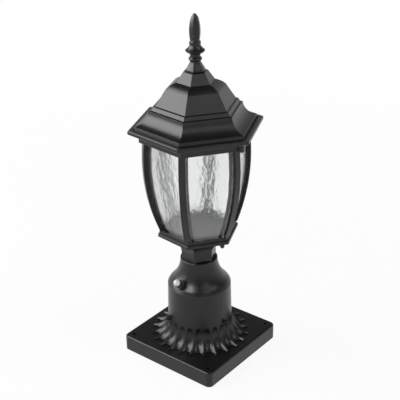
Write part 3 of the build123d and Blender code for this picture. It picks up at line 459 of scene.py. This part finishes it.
def ripple(across, up, number):
    """Depth of the ripples at a place on a pane, from 0 to 1: long upright runs that sway."""
    seed = number * SEED_STEP
    shifted = across + SWAY * runs(across, up, SWAY_RUN, seed)
    broad = runs(shifted, up, BROAD_RUN, seed)
    fine = runs(shifted, up, FINE_RUN, -seed)
    return ramp_up(RIPPLE_MIDDLE + BROAD_SHARE * broad + FINE_SHARE * fine, 0, 1)


def rippled_pane(number):
    """The CAD pane, its outer face cut into a fine grid and sunk in ripples."""
    name = f"pane_{number}"
    turn = HEAD_TURN + (2 * number - 1) * pi / SIDES
    outward = Vector((cos(turn), sin(turn), 0))
    along = Vector((-sin(turn), cos(turn), 0))
    low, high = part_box(name)
    columns = int(PANE_REACH / GRID_ACROSS)
    rows = int((high[2] - low[2]) / GRID_UP)
    grid = [(along * column * GRID_ACROSS, along) for column in range(-columns, columns + 1)]
    grid += [(Vector((0, 0, low[2] + row * GRID_UP)), UP) for row in range(1, rows + 1)]
    mesh = cad_copy(name)
    cut(mesh, grid)
    for vertex in mesh.verts:
        if vertex.normal.dot(outward) < FACING_OUT:
            continue
        across = vertex.co.dot(along)
        side_room = vertex.co.dot(outward) * tan(pi / SIDES) - PANE_INSET - abs(across)
        room = min(side_room, vertex.co.z - low[2], high[2] - vertex.co.z)
        fade = ramp_up(room, 0, RIPPLE_FADE)
        vertex.co -= outward * RIPPLE_DEPTH * fade * ripple(across, vertex.co.z, number)
    stand_in(mesh, name, "head", "water_glass")


for number in range(1, SIDES + 1):
    rippled_pane(number)


# ---- finial: soft six-sided casting with rounder collar and beads -----------------------------------

COLUMN_TURN = radians(10)
SOFTNESS = 0.35                      # share of the way from six-sided to round
COLLAR_SOFTNESS = 0.85
COLLAR_SPAN = (12 * MM, 33 * MM)     # of the bead, collar and ring above the finial's foot
COLLAR_BLEND = 3 * MM
ROUND_SHARE = 0.967                  # radius of the round form against the corners
BORE_CLEAR = (3.4 * MM, 4.6 * MM)    # radii between which the softening starts


def soft_finial():
    """The CAD finial, its six sides drawn part of the way to round, most at the collar."""
    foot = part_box("finial")[0][2]
    turns = [HEAD_TURN + step * COLUMN_TURN for step in range(round(pi / COLUMN_TURN))]
    mesh = cad_copy("finial")
    cut(mesh, [(Vector((0, 0, 0)), Vector((-sin(turn), cos(turn), 0))) for turn in turns])
    for vertex in mesh.verts:
        radius = vertex.co.xy.length
        if radius < BORE_CLEAR[0]:
            continue
        heading = atan2(vertex.co.y, vertex.co.x) - HEAD_TURN
        from_middle = heading % SIDE_TURN - SIDE_TURN / 2
        corner_radius = radius * cos(from_middle) / cos(SIDE_TURN / 2)
        height = vertex.co.z - foot
        in_collar = ramp_up(height, COLLAR_SPAN[0] - COLLAR_BLEND, COLLAR_SPAN[0])
        in_collar *= 1 - ramp_up(height, COLLAR_SPAN[1], COLLAR_SPAN[1] + COLLAR_BLEND)
        softness = SOFTNESS + (COLLAR_SOFTNESS - SOFTNESS) * in_collar
        softness *= ramp_up(radius, *BORE_CLEAR)
        wanted = radius + softness * (ROUND_SHARE * corner_radius - radius)
        vertex.co.xy *= wanted / radius
    mesh.normal_update()
    stand_in(mesh, "finial", "finial", "black_paint")


soft_finial()


# ---- stage: floor, world, lamps and camera ------------------------------------------------------

FLOOR_HALF = 6.0                     # of a side, in metres
FLOOR_WHITE = 0.88                   # share of plain white in the floor beside the lantern
FLOOR_FADE = (0.3, 1.3)              # distance in metres over which the floor becomes all white
FILL = 0.5                           # strength of the even light from all round
SWEEP_TOP = 0.08                     # sine of the height where the studio's white starts to fade
DARK_FROM = 0.56                     # sine of the height where it is dark
DARK = 0.08                          # strength of that dark
WHITE = (1, 1, 1, 1)
LAMP_AIM = Vector((0, 0, 0.24))
KEY_PLACE = {"azimuth": -54, "elevation": 30, "size": 1.2}


def shown_white(tree, surface, strength, rays):
    """Mix a surface with plain white for the named kinds of ray."""
    path = add_node(tree, "ShaderNodeLightPath")
    seen = 0.0
    for ray in rays:
        either = add_node(tree, "ShaderNodeMath", {0: seen, 1: path.outputs[ray]}, operation="MAXIMUM")
        seen = either.outputs[0]
    share = add_node(tree, "ShaderNodeMath", {0: seen, 1: strength}, operation="MULTIPLY")
    white = add_node(tree, "ShaderNodeEmission", {"Color": WHITE, "Strength": 1.0})
    return add_node(tree, "ShaderNodeMixShader", {0: share.outputs[0], 1: surface, 2: white.outputs[0]})


def make_floor():
    """A plain pale floor that keeps a faint shadow of the lantern and fades into the backdrop."""
    mesh = bmesh.new()
    bmesh.ops.create_grid(mesh, x_segments=1, y_segments=1, size=FLOOR_HALF)
    data = bpy.data.meshes.new("floor")
    mesh.to_mesh(data)
    mesh.free()
    floor = bpy.data.objects.new("floor", data)
    bpy.context.scene.collection.objects.link(floor)
    material, tree, place = new_material("pale_floor")
    surface = add_node(tree, "ShaderNodeBsdfDiffuse", {"Color": linear(BACKDROP)})
    away = add_node(tree, "ShaderNodeVectorMath", {0: place}, operation="LENGTH")
    whiteness = add_node(tree, "ShaderNodeMapRange", {
        "Value": away.outputs["Value"], "From Min": FLOOR_FADE[0], "From Max": FLOOR_FADE[1],
        "To Min": FLOOR_WHITE, "To Max": 1.0,
    })
    rays = ("Is Camera Ray", "Is Glossy Ray", "Is Transmission Ray")
    finish_material(tree, shown_white(tree, surface.outputs[0], whiteness.outputs["Result"], rays))
    wear(floor, material)


def make_world():
    """White all round for camera and glass, a studio for gloss, a soft grey fill for the rest.

    The studio is white up to the top of its sweep and dark above, so that level faces stay black.
    """
    world = bpy.data.worlds.new("studio")
    bpy.context.scene.world = world
    world.use_nodes = True
    tree = world.node_tree
    tree.nodes.clear()
    fill = add_node(tree, "ShaderNodeBackground", {"Color": WHITE, "Strength": FILL})
    toward = add_node(tree, "ShaderNodeTexCoord").outputs["Generated"]
    rise = add_node(tree, "ShaderNodeSeparateXYZ", {"Vector": toward}).outputs["Z"]
    sweep = add_node(tree, "ShaderNodeMapRange", {
        "Value": rise, "From Min": SWEEP_TOP, "From Max": DARK_FROM, "To Min": 1.0, "To Max": DARK,
    })
    mirrored = add_node(tree, "ShaderNodeBackground", {
        "Color": WHITE, "Strength": sweep.outputs["Result"],
    })
    path = add_node(tree, "ShaderNodeLightPath")
    around = add_node(tree, "ShaderNodeMixShader", {
        0: path.outputs["Is Glossy Ray"], 1: fill.outputs[0], 2: mirrored.outputs[0],
    })
    lit = shown_white(tree, around.outputs[0], 1.0, ("Is Camera Ray", "Is Transmission Ray"))
    add_node(tree, "ShaderNodeOutputWorld", {"Surface": lit.outputs[0]})


def softbox(name, azimuth, elevation, distance, size, watts, only_gloss=False):
    """A square area lamp that looks at the lantern, or lights only its gloss.

    Azimuth and elevation are in degrees, distance and size in metres.
    """
    away = direction(radians(azimuth), radians(elevation))
    data = bpy.data.lights.new(name, "AREA")
    data.shape = "SQUARE"
    data.size = size
    data.energy = watts
    lamp = bpy.data.objects.new(name, data)
    lamp.visible_diffuse = not only_gloss
    lamp.location = LAMP_AIM + away * distance
    lamp.rotation_euler = away.to_track_quat("Z", "Y").to_euler()
    bpy.context.scene.collection.objects.link(lamp)


def make_camera():
    """The camera of the photograph: its direction, roll, focal length and framing."""
    data = bpy.data.cameras.new("photograph")
    data.sensor_width = SENSOR_MM
    data.lens = FOCAL_PX * SENSOR_MM / FRAME_PX
    data.shift_x = 0.5 - AXIS_PX[0] / FRAME_PX
    data.shift_y = AXIS_PX[1] / FRAME_PX - 0.5
    back = direction(CAMERA_AZIMUTH, CAMERA_ELEVATION)
    right = UP.cross(back).normalized()
    up = back.cross(right)
    roll = Matrix.Rotation(CAMERA_ROLL, 3, back)
    axes = Matrix((roll @ right, roll @ up, back)).transposed().to_4x4()
    camera = bpy.data.objects.new("photograph", data)
    camera.matrix_world = Matrix.Translation(CAMERA_AIM + back * CAMERA_DISTANCE) @ axes
    bpy.context.scene.collection.objects.link(camera)
    bpy.context.scene.camera = camera


make_floor()
make_world()
softbox("key_left", **KEY_PLACE, distance=1.5, watts=13)
softbox("key_gloss", **KEY_PLACE, distance=1.52, watts=21, only_gloss=True)
softbox("right_high", azimuth=112, elevation=50, distance=1.7, size=0.6, watts=5)
softbox("front", azimuth=72, elevation=42, distance=1.8, size=0.8, watts=3.3)
softbox("front_gloss", azimuth=-6, elevation=46, distance=1.7, size=0.5, watts=15, only_gloss=True)
make_camera()

bpy.context.scene.view_settings.view_transform = "Standard"
